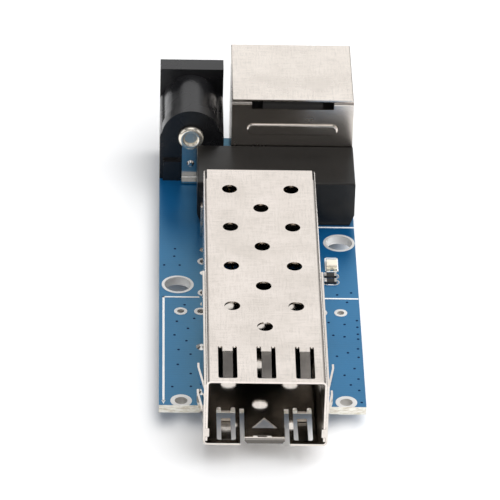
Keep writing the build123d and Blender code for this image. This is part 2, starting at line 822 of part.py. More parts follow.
with BuildPart() as rj45_shield:
    with BuildSketch(Plane.YZ.offset(rj45_middle_x)):
        with BuildLine():
            Polyline(
                (rj45_rear, lid_bottom),
                (socket_mouth, lid_bottom),
                (socket_mouth, shield_foot),
                (rj45_rear, shield_foot),
                close=True,
            )
        make_face()
        fillet(vertices().group_by(Axis.Y)[-1].sort_by(Axis.X)[0], rj45_bend)
    extrude(amount=rj45_width / 2, both=True)
    # Stiffening rib pressed out of the rear wall
    with BuildSketch(Plane.XZ.offset(-rj45_rear)):
        with Locations((rj45_middle_x, board_top + rib_height)):
            SlotOverall(rib_length, rib_width)
    extrude(amount=rib_rise)
    fillet(rj45_shield.faces().sort_by(Axis.Y)[0].edges(), rib_edge)
    with BuildSketch(Plane.XZ.offset(-rj45_rear - rj45_skin)):
        with Locations((rj45_middle_x, board_top + rib_height)):
            SlotOverall(rib_length - 2 * rj45_skin, rib_width - 2 * rj45_skin)
    extrude(amount=rib_rise, mode=Mode.SUBTRACT)
    # Room for the insert
    with BuildSketch(Plane.YZ.offset(rj45_middle_x)):
        with BuildLine():
            Polyline(
                (rj45_rear + rj45_skin, inner_top),
                (socket_mouth - rj45_skin, inner_top),
                (socket_mouth - rj45_skin, board_top),
                (rj45_rear + rj45_skin, board_top),
                close=True,
            )
        make_face()
        fillet(vertices().group_by(Axis.Y)[-1].sort_by(Axis.X)[0], rj45_bend - rj45_skin)
    extrude(amount=inner_width / 2, both=True, mode=Mode.SUBTRACT)
    # Window in the rear wall's fold
    with Locations((rj45_middle_x, rj45_rear, lid_bottom)):
        Box(
            rear_window_width,
            2 * rj45_bend,
            rear_window_height,
            align=(Align.CENTER, Align.CENTER, Align.MAX),
            mode=Mode.SUBTRACT,
        )
    # Lid
    with BuildSketch(Plane.XZ.offset(-rj45_rear)):
        with Locations((rj45_middle_x, rj45_top)):
            Rectangle(rj45_width, rj45_skin, align=(Align.CENTER, Align.MAX))
        fillet(vertices().group_by(Axis.Y)[-1], rj45_corner)
    extrude(amount=-rj45_depth)
    # Mouth for the plug and its latch
    with BuildSketch(Plane.XZ.offset(-socket_mouth)):
        with Locations((rj45_middle_x, board_top + plug_floor + plug_height / 2)):
            Rectangle(plug_width, plug_height)
        with Locations((rj45_middle_x, board_top + plug_floor)):
            Rectangle(latch_width, 2 * latch_depth)
    extrude(amount=rj45_skin, both=True, mode=Mode.SUBTRACT)
    # Solder tabs
    with Locations(*[(x, y, 0) for x, y in shield_tabs]):
        Box(
            shield_tab_width,
            rj45_skin,
            shield_foot,
            align=(Align.CENTER, Align.CENTER, Align.MIN),
        )

rj45_shield.part.label = "rj45_shield"
export_step(rj45_shield.part, "parts/rj45_shield.step")


# Moulded insert of the network socket
insert_depth = rj45_depth - 2 * rj45_skin - 2 * rj45_fit
insert_top = inner_top - rj45_fit
insert_height = insert_top - board_top
pocket_offset = (insert_lug_width + insert_pocket_width) / 2

with BuildPart() as rj45_housing:
    with Locations((rj45_middle_x, rj45_middle_y, board_top)):
        Box(
            inner_width - 2 * rj45_fit,
            insert_depth,
            insert_height,
            align=(Align.CENTER, Align.CENTER, Align.MIN),
        )
    chamfer(rj45_housing.edges().group_by(Axis.Z)[-1].sort_by(Axis.Y)[0], rj45_bend - rj45_skin)
    # Pockets beside the lug
    with Locations(*[(rj45_middle_x + side * pocket_offset, rj45_rear, insert_top) for side in (-1, 1)]):
        Box(
            insert_pocket_width,
            2 * insert_pocket_depth,
            2 * insert_pocket_height,
            mode=Mode.SUBTRACT,
        )
    # Plug cavity and latch channel
    with Locations((rj45_middle_x, socket_mouth, board_top + plug_floor)):
        Box(
            plug_width,
            plug_depth,
            plug_height,
            align=(Align.CENTER, Align.MAX, Align.MIN),
            mode=Mode.SUBTRACT,
        )
    with Locations((rj45_middle_x, socket_mouth, board_top + plug_floor)):
        Box(
            latch_width,
            plug_depth,
            2 * latch_depth,
            align=(Align.CENTER, Align.MAX, Align.CENTER),
            mode=Mode.SUBTRACT,
        )
    # One channel for each wire in the cavity's ceiling
    with Locations(*[(x, wire_turn_y + wire_bend, plug_top) for x in wire_xs]):
        Box(
            wire_width + wire_comb_room,
            wire_reach,
            wire_channel + wire_thickness,
            align=(Align.CENTER, Align.MAX, Align.MIN),
            mode=Mode.SUBTRACT,
        )
    # Locating pegs
    with BuildSketch(Plane.XY.offset(board_top)):
        with Locations(*peg_places):
            Circle(peg_radius)
    extrude(amount=-board_thickness - peg_stand)
    chamfer(rj45_housing.faces().group_by(Axis.Z)[0].edges(), peg_chamfer)
    add(rj45_contacts.part, mode=Mode.SUBTRACT)

rj45_housing.part.label = "rj45_housing"
export_step(rj45_housing.part, "parts/rj45_housing.step")


# Rear terminal strip of the power socket, around its rivet
with BuildPart() as jack_pin_terminal:
    with BuildSketch(Plane.XZ.offset(-jack_rear + jack_strip_thickness)):
        with Locations((jack_x, board_top + jack_pip_height)):
            Circle(jack_pip_radius)
    extrude(amount=jack_pip_rise, taper=jack_pip_taper)
    fillet(jack_pin_terminal.edges().group_by(Axis.Y)[0], jack_pip_edge)
    with BuildSketch(Plane.XZ.offset(-jack_rear)):
        with Locations((jack_x, jack_axis_z)):
            Circle(jack_strip_width / 2)
        with Locations((jack_x, (board_top + jack_foot_lift + jack_axis_z) / 2)):
            Rectangle(jack_strip_width, jack_axis_z - board_top - jack_foot_lift)
        with Locations((jack_x, (board_top + jack_foot_lift) / 2)):
            Rectangle(jack_tail_width, board_top + jack_foot_lift)
        with Locations((jack_x, jack_axis_z)):
            Circle(jack_pin_radius, mode=Mode.SUBTRACT)
    extrude(amount=jack_strip_thickness)
    # Fold along the board
    with BuildSketch(Plane.YZ.offset(jack_x)):
        with BuildLine():
            FilletPolyline(
                (jack_pin_tail[1], strip_foot_z + 2 * jack_strip_thickness),
                (jack_pin_tail[1], strip_foot_z),
                (jack_pin_tail[1] - jack_strip_foot, strip_foot_z),
                radius=jack_strip_thickness,
            )
        trace(line_width=jack_strip_thickness)
    extrude(amount=jack_strip_width / 2, both=True)

jack_pin_terminal.part.label = "jack_pin_terminal"
export_step(jack_pin_terminal.part, "parts/jack_pin_terminal.step")


# Centre pin of the power socket, riveted over at the rear
with BuildPart() as jack_centre_pin:
    with BuildSketch(Plane.XZ.offset(-jack_rear + jack_strip_thickness + jack_rivet_height)):
        with Locations((jack_x, jack_axis_z)):
            Circle(jack_rivet_radius)
    extrude(amount=-jack_rivet_height)
    with BuildSketch(Plane.XZ.offset(-jack_rear + jack_strip_thickness + jack_rivet_height)):
        with Locations((jack_x, jack_axis_z)):
            Circle(jack_dimple_radius)
    extrude(amount=-jack_dimple_depth, mode=Mode.SUBTRACT)
    # Rolled rim, rounded outside and inside
    fillet(jack_centre_pin.edges().group_by(Axis.Y)[0].sort_by(SortBy.LENGTH)[-1], jack_rivet_edge)
    fillet(jack_centre_pin.edges().group_by(Axis.Y)[0].sort_by(SortBy.LENGTH)[0], jack_dimple_edge)
    with BuildSketch(Plane.XZ.offset(-jack_rear + jack_strip_thickness)):
        with Locations((jack_x, jack_axis_z)):
            Circle(jack_pin_radius)
    extrude(amount=-jack_strip_thickness - jack_length + jack_pin_recess)
    fillet(jack_centre_pin.edges().group_by(Axis.Y)[-1], jack_pin_round)

jack_centre_pin.part.label = "jack_centre_pin"
export_step(jack_centre_pin.part, "parts/jack_centre_pin.step")


# Sleeve contact, a leaf that rises into the bore
leaf_z = board_top + jack_leaf_height
leaf_tail_y = jack_sleeve_tail[1]

with BuildPart() as jack_sleeve_spring:
    with BuildSketch(Plane.YZ.offset(jack_x)):
        with BuildLine():
            FilletPolyline(
                (leaf_tail_y, board_top + jack_foot_lift),
                (leaf_tail_y, leaf_z),
                (leaf_tail_y - jack_leaf_flat, leaf_z),
                (leaf_tail_y - jack_leaf_crest, leaf_z + jack_leaf_rise),
                (leaf_tail_y - jack_leaf_end, leaf_z + jack_leaf_rise / 2),
                radius=jack_leaf_thickness,
            )
        trace(line_width=jack_leaf_thickness)
    extrude(amount=jack_leaf_width / 2, both=True)
    with Locations((jack_x, leaf_tail_y, 0)):
        Box(
            jack_tail_width,
            jack_leaf_thickness,
            board_top + jack_foot_lift,
            align=(Align.CENTER, Align.CENTER, Align.MIN),
        )

jack_sleeve_spring.part.label = "jack_sleeve_spring"
export_step(jack_sleeve_spring.part, "parts/jack_sleeve_spring.step")


# Switch contact, an arm that the sleeve contact rests on
arm_z = leaf_z - jack_leaf_thickness
switch_x, switch_y = jack_switch_tail_at

with BuildPart() as jack_switch_contact:
    with BuildSketch(Plane.XZ.offset(-switch_y)):
        with BuildLine():
            FilletPolyline(
                (switch_x, 0),
                (switch_x, arm_z),
                (jack_x, arm_z),
                radius=jack_leaf_thickness,
            )
        trace(line_width=jack_strip_thickness)
    extrude(amount=jack_tail_width / 2, both=True)

jack_switch_contact.part.label = "jack_switch_contact"
export_step(jack_switch_contact.part, "parts/jack_switch_contact.step")


# Moulded body of the power socket
foot_front = jack_rear - jack_foot_step

with BuildPart() as jack_housing:
    # Front flange
    with Locations((jack_block_x, socket_mouth, board_top)):
        Box(jack_width, jack_flange, jack_height, align=(Align.CENTER, Align.MAX, Align.MIN))
    # Round barrel and the thicker cap at its rear
    with BuildSketch(Plane.XZ.offset(-jack_rear)):
        with Locations((jack_x, jack_axis_z)):
            Circle(jack_barrel_radius)
    extrude(amount=jack_rear - jack_flange_rear)
    with BuildSketch(Plane.XZ.offset(-jack_rear)):
        with Locations((jack_x, jack_axis_z)):
            Circle(jack_cap_radius)
    extrude(amount=-jack_cap_length)
    # Block with rounded shoulders under the barrel
    with BuildSketch(Plane.XZ.offset(-jack_rear)):
        with Locations((jack_block_x, board_top)):
            Rectangle(jack_width, jack_shoulder, align=(Align.CENTER, Align.MIN))
        fillet(vertices().group_by(Axis.Y)[-1], jack_shoulder_round)
    extrude(amount=jack_rear - jack_flange_rear)
    # Foot with a slot for the rear strip
    with Locations((board_left + jack_foot_inset, foot_front, board_top)):
        Box(
            jack_width - jack_foot_inset,
            2 * jack_foot_step,
            jack_foot_height,
            align=(Align.MIN, Align.MIN, Align.MIN),
        )
    with Locations((jack_x, jack_rear, board_top)):
        Box(
            jack_strip_width + 2 * jack_slot_clearance,
            2 * jack_foot_step,
            jack_foot_height,
            align=(Align.CENTER, Align.MAX, Align.MIN),
            mode=Mode.SUBTRACT,
        )
    # Bore, and the room for the sleeve contact below it
    with BuildSketch(Plane.XZ.offset(-socket_mouth)):
        with Locations((jack_x, jack_axis_z)):
            Circle(jack_bore_radius)
    extrude(amount=jack_bore_depth, mode=Mode.SUBTRACT)
    with Locations((jack_x, leaf_tail_y - jack_leaf_flat / 2, leaf_z - jack_leaf_thickness / 2)):
        Box(
            jack_leaf_width + 2 * jack_slot_clearance,
            jack_leaf_end,
            jack_axis - jack_leaf_height,
            align=(Align.CENTER, Align.MAX, Align.MIN),
            mode=Mode.SUBTRACT,
        )
    add(jack_centre_pin.part, mode=Mode.SUBTRACT)
    add(jack_sleeve_spring.part, mode=Mode.SUBTRACT)
    add(jack_switch_contact.part, mode=Mode.SUBTRACT)

jack_housing.part.label = "jack_housing"
export_step(jack_housing.part, "parts/jack_housing.step")


# Leads of the isolation transformer, two rows
with BuildPart() as transformer_pins:
    with Locations(*[(x, y, 0) for x, y in transformer_pins_at]):
        Cylinder(
            transformer_pin_radius,
            board_top + transformer_pin_bury,
            align=(Align.CENTER, Align.CENTER, Align.MIN),
        )

transformer_pins.part.label = "transformer_pins"
export_step(transformer_pins.part, "parts/transformer_pins.step")


# Moulded case of the isolation transformer
with BuildPart() as transformer_case:
    with BuildSketch(Plane.XZ.offset(-transformer_front)):
        with BuildLine():
            Polyline(
                (transformer_left + transformer_foot_taper, board_top),
                (transformer_left, board_top + transformer_foot_height),
                (transformer_left, board_top + transformer_height),
                (board_right, board_top + transformer_height),
                (board_right, board_top + transformer_foot_height),
                (board_right - transformer_foot_taper, board_top),
                close=True,
            )
        make_face()
    extrude(amount=-transformer_depth)
    fillet(transformer_case.faces().sort_by(Axis.Z)[-1].edges(), transformer_edge)
    add(transformer_pins.part, mode=Mode.SUBTRACT)

transformer_case.part.label = "transformer_case"
export_step(transformer_case.part, "parts/transformer_case.step")


# Solder on every lead, lug and cage pin
with BuildPart() as solder_joints:
    cage_pins = base_pins + cover_pins
    round_joints = [
        (cage_pins, pin_hole_radius, pin_width / 2),
        (transformer_pins_at, transformer_hole_radius, transformer_pin_radius + pad_thickness),
        (wire_tails, wire_hole_radius, wire_width / 2 + pad_thickness),
        (shield_tabs, shield_hole_radius, shield_tab_width / 2),
    ]
    for places, hole, neck in round_joints:
        with Locations(*[(x, y, tail_drop) for x, y in places]):
            Cylinder(hole, board_thickness, align=(Align.CENTER, Align.CENTER, Align.MIN))
            Cone(neck, hole + pad_border, solder_height, align=(Align.CENTER, Align.CENTER, Align.MAX))
    # Low collars on the top face around the lower shell's pins
    with Locations(*[(x, y, board_top) for x, y in base_pins]):
        Cone(
            pin_hole_radius + pad_border,
            pin_width / 2,
            floor_lift - shell_gap,
            align=(Align.CENTER, Align.CENTER, Align.MIN),
        )
    # Power socket lugs in their oblong holes
    with BuildSketch(Plane.XY.offset(tail_drop)):
        with Locations(jack_pin_tail, jack_sleeve_tail):
            SlotOverall(jack_hole_length, jack_hole_width)
        with Locations(jack_switch_tail_at):
            SlotOverall(jack_hole_length, jack_hole_width, rotation=90)
    extrude(amount=board_thickness)
    with BuildSketch(Plane.XY.offset(tail_drop)):
        with Locations(jack_pin_tail, jack_sleeve_tail):
            SlotOverall(jack_hole_length + 2 * pad_border, jack_hole_width + 2 * pad_border)
        with Locations(jack_switch_tail_at):
            SlotOverall(jack_hole_length + 2 * pad_border, jack_hole_width + 2 * pad_border, rotation=90)
    extrude(amount=-solder_height, taper=solder_taper)
    # Metal that stands in the solder
    with Locations(*[(x, y, 0) for x, y in cage_pins]):
        Box(
            sheet,
            pin_width,
            board_top + floor_lift,
            align=(Align.CENTER, Align.CENTER, Align.MIN),
            mode=Mode.SUBTRACT,
        )
    with Locations(*[(x, y, 0) for x, y in transformer_pins_at]):
        Cylinder(
            transformer_pin_radius,
            board_top,
            align=(Align.CENTER, Align.CENTER, Align.MIN),
            mode=Mode.SUBTRACT,
        )
    with Locations(*[(x, y, 0) for x, y in wire_tails]):
        Box(
            wire_width,
            wire_thickness,
            board_top,
            align=(Align.CENTER, Align.CENTER, Align.MIN),
            mode=Mode.SUBTRACT,
        )
    with Locations(*[(x, y, 0) for x, y in shield_tabs]):
        Box(
            shield_tab_width,
            rj45_skin,
            board_top,
            align=(Align.CENTER, Align.CENTER, Align.MIN),
            mode=Mode.SUBTRACT,
        )
    with Locations(*[(x, y, 0) for x, y in (jack_pin_tail, jack_sleeve_tail)]):
        Box(
            jack_tail_width,
            jack_strip_thickness,
            board_top,
            align=(Align.CENTER, Align.CENTER, Align.MIN),
            mode=Mode.SUBTRACT,
        )
    with Locations((switch_x, switch_y, 0)):
        Box(
            jack_strip_thickness,
            jack_tail_width,
            board_top,
            align=(Align.CENTER, Align.CENTER, Align.MIN),
            mode=Mode.SUBTRACT,
        )

solder_joints.part.label = "solder_joints"
export_step(solder_joints.part, "parts/solder_joints.step")


# Status light: a thin base with two metal ends, and its lens
led_x = board_right - led_inset
led_y = board_front + led_row

with BuildPart() as status_led_base:
    with Locations((led_x, led_y, board_top)):
        Box(led_width, led_length, led_base_height, align=(Align.CENTER, Align.CENTER, Align.MIN))
    # Half round plated notches at the ends
    with Locations(*[(led_x, led_y + side * led_length / 2, board_top) for side in (-1, 1)]):
        Cylinder(
            led_notch_radius,
            led_base_height,
            align=(Align.CENTER, Align.CENTER, Align.MIN),
            mode=Mode.SUBTRACT,
        )

status_led_base.part.label = "status_led_base"
export_step(status_led_base.part, "parts/status_led_base.step")

with BuildPart() as status_led_lens:
    with Locations((led_x, led_y, board_top + led_base_height)):
        Box(led_width, led_lens_length, led_lens_height, align=(Align.CENTER, Align.CENTER, Align.MIN))
    fillet(status_led_lens.edges().filter_by(Axis.X).group_by(Axis.Z)[-1], led_lens_edge)

status_led_lens.part.label = "status_led_lens"
export_step(status_led_lens.part, "parts/status_led_lens.step")


# Two chip resistors, along the board's width
resistor_places = [(board_right - resistor_inset, board_front + row) for row in resistor_rows]
cap_offset = (chip_length - chip_cap) / 2

with BuildPart() as resistor_bodies:
    with Locations(*[(x, y, board_top + chip_skin) for x, y in resistor_places]):
        Box(
            chip_length - 2 * chip_skin,
            chip_width,
            chip_height,
            align=(Align.CENTER, Align.CENTER, Align.MIN),
        )

resistor_bodies.part.label = "resistor_bodies"
export_step(resistor_bodies.part, "parts/resistor_bodies.step")

with BuildPart() as resistor_caps:
    with Locations(*[(x + side * cap_offset, y, board_top) for x, y in resistor_places for side in (-1, 1)]):
        Box(chip_cap, chip_width, chip_height + 2 * chip_skin, align=(Align.CENTER, Align.CENTER, Align.MIN))
    add(resistor_bodies.part, mode=Mode.SUBTRACT)

resistor_caps.part.label = "resistor_caps"
export_step(resistor_caps.part, "parts/resistor_caps.step")


def hanging_leads(offsets, width, reach, body_height):
    """Leads that leave a body's side half way up and turn to a flat foot on the board's underside."""
    knee = reach * lead_knee
    shoulder_z = tail_drop - body_lift - body_height / 2
    with Locations(*[(-lead_bury, offset, shoulder_z) for offset in offsets]):
        Box(knee + lead_bury, width, lead_thickness, align=(Align.MIN, Align.CENTER, Align.CENTER))
    with Locations(*[(knee, offset, tail_drop) for offset in offsets]):
        Box(
            lead_thickness,
            width,
            tail_drop - shoulder_z + lead_thickness / 2,
            align=(Align.MAX, Align.CENTER, Align.MAX),
        )
    with Locations(*[(knee - lead_thickness, offset, tail_drop) for offset in offsets]):
        Box(reach - knee + lead_thickness, width, lead_thickness, align=(Align.MIN, Align.CENTER, Align.MAX))


def spread(count, pitch):
    """Offsets of a row of things about its middle."""
    return [(i - (count - 1) / 2) * pitch for i in range(count)]


# Media controller under the board, a flat pack with leads on four sides
controller_y = board_front + controller_row

with BuildPart() as controller_leads:
    with Locations((0, controller_y)):
        with PolarLocations(controller_size / 2, 4):
            hanging_leads(
                spread(controller_lead_count, controller_lead_pitch),
                controller_lead_width,
                controller_lead_reach,
                controller_height,
            )

controller_leads.part.label = "controller_leads"
export_step(controller_leads.part, "parts/controller_leads.step")

with BuildPart() as controller_chip:
    with Locations((0, controller_y, tail_drop - body_lift)):
        Box(
            controller_size,
            controller_size,
            controller_height,
            align=(Align.CENTER, Align.CENTER, Align.MAX),
        )
    chamfer(controller_chip.edges().group_by(Axis.Z)[0], body_edge)
    add(controller_leads.part, mode=Mode.SUBTRACT)

controller_chip.part.label = "controller_chip"
export_step(controller_chip.part, "parts/controller_chip.step")


# Memory chip under the board, leads on two sides
memory_y = board_front + memory_row

with BuildPart() as memory_leads:
    with Locations((memory_x, memory_y)):
        with PolarLocations(memory_depth / 2, 2, start_angle=90):
            hanging_leads(
                spread(memory_lead_count, memory_lead_pitch),
                memory_lead_width,
                memory_lead_reach,
                memory_height,
            )

memory_leads.part.label = "memory_leads"
export_step(memory_leads.part, "parts/memory_leads.step")

with BuildPart() as memory_chip:
    with Locations((memory_x, memory_y, tail_drop - body_lift)):
        Box(memory_width, memory_depth, memory_height, align=(Align.CENTER, Align.CENTER, Align.MAX))
    chamfer(memory_chip.edges().group_by(Axis.Z)[0], body_edge)
    add(memory_leads.part, mode=Mode.SUBTRACT)

memory_chip.part.label = "memory_chip"
export_step(memory_chip.part, "parts/memory_chip.step")


# Voltage regulator under the board, three pins and a wide tab
regulator_y = board_front + regulator_row

with BuildPart() as regulator_leads:
    with Locations((regulator_x, regulator_y)):
        with PolarLocations(regulator_depth / 2, 1, start_angle=-90):
            hanging_leads(
                spread(3, regulator_pin_pitch),
                regulator_pin_width,
                regulator_lead_reach,
                regulator_height,
            )
        with PolarLocations(regulator_depth / 2, 1, start_angle=90):
            hanging_leads([0], regulator_tab_width, regulator_lead_reach, regulator_height)

regulator_leads.part.label = "regulator_leads"
export_step(regulator_leads.part, "parts/regulator_leads.step")

with BuildPart() as regulator_body:
    with Locations((regulator_x, regulator_y, tail_drop - body_lift)):
        Box(regulator_width, regulator_depth, regulator_height, align=(Align.CENTER, Align.CENTER, Align.MAX))
    chamfer(regulator_body.edges().group_by(Axis.Z)[0], body_edge)
    add(regulator_leads.part, mode=Mode.SUBTRACT)

regulator_body.part.label = "regulator_body"
export_step(regulator_body.part, "parts/regulator_body.step")


# Clock crystal under the board, a ceramic base and a metal lid
crystal_y = board_front + crystal_row
crystal_lid_height = crystal_height - crystal_base_height

with BuildPart() as crystal_base:
    with Locations((0, crystal_y, tail_drop)):
        Box(crystal_length, crystal_width, crystal_base_height, align=(Align.CENTER, Align.CENTER, Align.MAX))
    fillet(crystal_base.edges().filter_by(Axis.Z), crystal_round)

crystal_base.part.label = "crystal_base"
export_step(crystal_base.part, "parts/crystal_base.step")

with BuildPart() as crystal_lid:
    with Locations((0, crystal_y, tail_drop - crystal_base_height)):
        Box(
            crystal_length - 2 * crystal_lid_step,
            crystal_width - 2 * crystal_lid_step,
            crystal_lid_height,
            align=(Align.CENTER, Align.CENTER, Align.MAX),
        )
    fillet(crystal_lid.edges().filter_by(Axis.Z), crystal_round)
    fillet(crystal_lid.edges().group_by(Axis.Z)[0], crystal_lid_step / 2)

crystal_lid.part.label = "crystal_lid"
export_step(crystal_lid.part, "parts/crystal_lid.step")


# Power inductor under the board, a ferrite bobbin and its winding
inductor_y = board_front + inductor_row

with BuildPart() as inductor_bobbin:
    for level in (tail_drop, tail_drop - inductor_height + inductor_flange):
        with BuildSketch(Plane.XY.offset(level)):
            with Locations((inductor_x, inductor_y)):
                Rectangle(inductor_size, inductor_size)
            chamfer(vertices(), inductor_chamfer)
        extrude(amount=-inductor_flange)
    with Locations((inductor_x, inductor_y, tail_drop)):
        Cylinder(inductor_core, inductor_height, align=(Align.CENTER, Align.CENTER, Align.MAX))

inductor_bobbin.part.label = "inductor_bobbin"
export_step(inductor_bobbin.part, "parts/inductor_bobbin.step")

with BuildPart() as inductor_coil:
    with BuildSketch(Plane.XY.offset(tail_drop - inductor_flange)):
        with Locations((inductor_x, inductor_y)):
            Circle(inductor_winding)
            Circle(inductor_core, mode=Mode.SUBTRACT)
    extrude(amount=2 * inductor_flange - inductor_height)

inductor_coil.part.label = "inductor_coil"
export_step(inductor_coil.part, "parts/inductor_coil.step")


# Decoupling capacitors under the board, along its length
capacitors_at = [(x, board_front + row) for x, row in capacitor_places]

with BuildPart() as capacitor_bodies:
    with Locations(*[(x, y, tail_drop - chip_skin) for x, y in capacitors_at]):
        Box(
            chip_width,
            chip_length - 2 * chip_skin,
            capacitor_height,
            align=(Align.CENTER, Align.CENTER, Align.MAX),
        )

capacitor_bodies.part.label = "capacitor_bodies"
export_step(capacitor_bodies.part, "parts/capacitor_bodies.step")

with BuildPart() as capacitor_caps:
    with Locations(*[(x, y + side * cap_offset, tail_drop) for x, y in capacitors_at for side in (-1, 1)]):
        Box(
            chip_width,
            chip_cap,
            capacitor_height + 2 * chip_skin,
            align=(Align.CENTER, Align.CENTER, Align.MAX),
        )
    add(capacitor_bodies.part, mode=Mode.SUBTRACT)

capacitor_caps.part.label = "capacitor_caps"
export_step(capacitor_caps.part, "parts/capacitor_caps.step")
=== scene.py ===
"""Studio scene of a bare fibre media converter board, in the part's own frame.

Metres. +X is to the right, +Y from the cage mouth to the rear sockets, +Z up.
"""

import json
from math import cos, pi, radians, sin

import bmesh
import bpy
from mathutils import Matrix, Vector


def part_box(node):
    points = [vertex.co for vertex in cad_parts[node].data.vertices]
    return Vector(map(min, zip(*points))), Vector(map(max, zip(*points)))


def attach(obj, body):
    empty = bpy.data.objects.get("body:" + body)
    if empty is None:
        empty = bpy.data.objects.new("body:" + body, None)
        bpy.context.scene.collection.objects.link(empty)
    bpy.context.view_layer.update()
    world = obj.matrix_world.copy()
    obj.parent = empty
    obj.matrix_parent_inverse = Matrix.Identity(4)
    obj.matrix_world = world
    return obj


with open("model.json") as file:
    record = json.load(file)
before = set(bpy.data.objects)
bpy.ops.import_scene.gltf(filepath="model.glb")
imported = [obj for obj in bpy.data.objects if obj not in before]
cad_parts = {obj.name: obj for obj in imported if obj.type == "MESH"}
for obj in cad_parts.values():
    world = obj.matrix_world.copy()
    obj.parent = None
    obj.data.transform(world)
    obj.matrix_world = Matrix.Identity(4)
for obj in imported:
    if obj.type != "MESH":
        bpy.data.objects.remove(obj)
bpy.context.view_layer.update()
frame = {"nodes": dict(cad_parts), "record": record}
nodes = frame["nodes"]
MM = 0.001

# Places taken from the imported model, and sizes of the folded cage
board_low, board_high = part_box("circuit_board")
board_front = board_low.y
board_top, board_under = board_high.z, board_low.z
SHEET = 0.25 * MM
CAGE_INNER_HALF = 7.0 * MM
CAGE_TOP = board_top + 9.55 * MM


# Materials: helpers for node trees, where owner is a material or the world

def make_material(name, **values):
    """A new material and its shader, with constants set on the shader's own sockets."""
    material = bpy.data.materials.new(name)
    material.use_nodes = True
    shader = material.node_tree.nodes["Principled BSDF"]
    for key, value in values.items():
        socket = key.replace("_", " ").title().replace("Ior", "IOR")
        shader.inputs[socket].default_value = value
    return material, shader


def add_node(owner, kind, **settings):
    node = owner.node_tree.nodes.new(kind)
    for key, value in settings.items():
        setattr(node, key, value)
    return node


def connect(owner, source, target):
    owner.node_tree.links.new(source, target)


def separate(owner, vector):
    """The X, Y and Z sockets of a vector."""
    node = add_node(owner, "ShaderNodeSeparateXYZ")
    connect(owner, vector, node.inputs["Vector"])
    return node.outputs


def math_node(owner, operation, first, second=None):
    """A Math node; each input is a number or a socket."""
    node = add_node(owner, "ShaderNodeMath", operation=operation)
    for socket, value in zip(node.inputs, (first, second)):
        if isinstance(value, (int, float)):
            socket.default_value = value
        elif value is not None:
            connect(owner, value, socket)
    return node.outputs[0]


def remap(owner, value, low, high, start=0.35, stop=0.65):
    """Spreads start to stop over low to high; by default a noise's middle band."""
    node = add_node(owner, "ShaderNodeMapRange")
    node.inputs["From Min"].default_value = start
    node.inputs["From Max"].default_value = stop
    node.inputs["To Min"].default_value = low
    node.inputs["To Max"].default_value = high
    connect(owner, value, node.inputs["Value"])
    return node.outputs["Result"]


def grey_ramp(owner, value, levels):
    """Greys over a value from 0 to 1, given as (place, level) pairs."""
    node = add_node(owner, "ShaderNodeValToRGB")
    connect(owner, value, node.inputs["Fac"])
    elements = node.color_ramp.elements
    for i, (place, level) in ((0, levels[0]), (1, levels[-1])):
        elements[i].position = place
        elements[i].color = (level, level, level, 1)
    for place, level in levels[1:-1]:
        elements.new(place).color = (level, level, level, 1)
    return node.outputs["Color"]


def mix_shaders(owner, factor, first, second):
    node = add_node(owner, "ShaderNodeMixShader")
    for value, socket in zip((factor, first, second), node.inputs):
        connect(owner, value, socket)
    return node.outputs[0]


def object_coordinates(material, scale=(1, 1, 1)):
    """The piece's own coordinates in metres, stretched by scale."""
    coordinates = add_node(material, "ShaderNodeTexCoord")
    mapping = add_node(material, "ShaderNodeMapping")
    mapping.inputs["Scale"].default_value = scale
    connect(material, coordinates.outputs["Object"], mapping.inputs["Vector"])
    return mapping.outputs["Vector"]


def noise(material, vector, scale, detail=3.0, roughness=0.5):
    node = add_node(material, "ShaderNodeTexNoise")
    node.inputs["Scale"].default_value = scale
    node.inputs["Detail"].default_value = detail
    node.inputs["Roughness"].default_value = roughness
    connect(material, vector, node.inputs["Vector"])
    return node.outputs["Fac"]


def blend_colors(material, factor, first, second):
    """Mixes two colours, each a tuple or a socket."""
    node = add_node(material, "ShaderNodeMix", data_type="RGBA")
    connect(material, factor, node.inputs["Factor"])
    for socket, color in ((node.inputs[6], first), (node.inputs[7], second)):
        if isinstance(color, tuple):
            socket.default_value = (*color, 1)
        else:
            connect(material, color, socket)
    return node.outputs[2]


def uneven_gloss(material, shader, value, roughness, least=0.85, most=1.2):
    """Roughness that follows a noise between two shares of its own value."""
    rough = remap(material, value, roughness * least, roughness * most)
    connect(material, rough, shader.inputs["Roughness"])


def bump(material, shader, height, strength, distance):
    node = add_node(material, "ShaderNodeBump")
    node.inputs["Strength"].default_value = strength
    node.inputs["Distance"].default_value = distance
    connect(material, height, node.inputs["Height"])
    connect(material, node.outputs["Normal"], shader.inputs["Normal"])


# Materials: the kinds

# Painted shade: a darker colour for the faces lining the cage's cavity, where shade falls
CAVITY_SHADE_COLOR = (0.62, 0.575, 0.52)
SCRATCH_SHADE = 0.82  # scratches against the dull colour
# Noise scales per metre across a rolling mark, along it and through the sheet
MARKS_ACROSS, MARKS_ALONG, MARKS_THROUGH = 4600, 450, 2300
# Depths of the surface textures
MARKS_DEPTH = 0.02 * MM
GRAIN_DEPTH = 0.03 * MM
RIPPLE_DEPTH = 0.08 * MM
FIBRE_DEPTH = 0.06 * MM


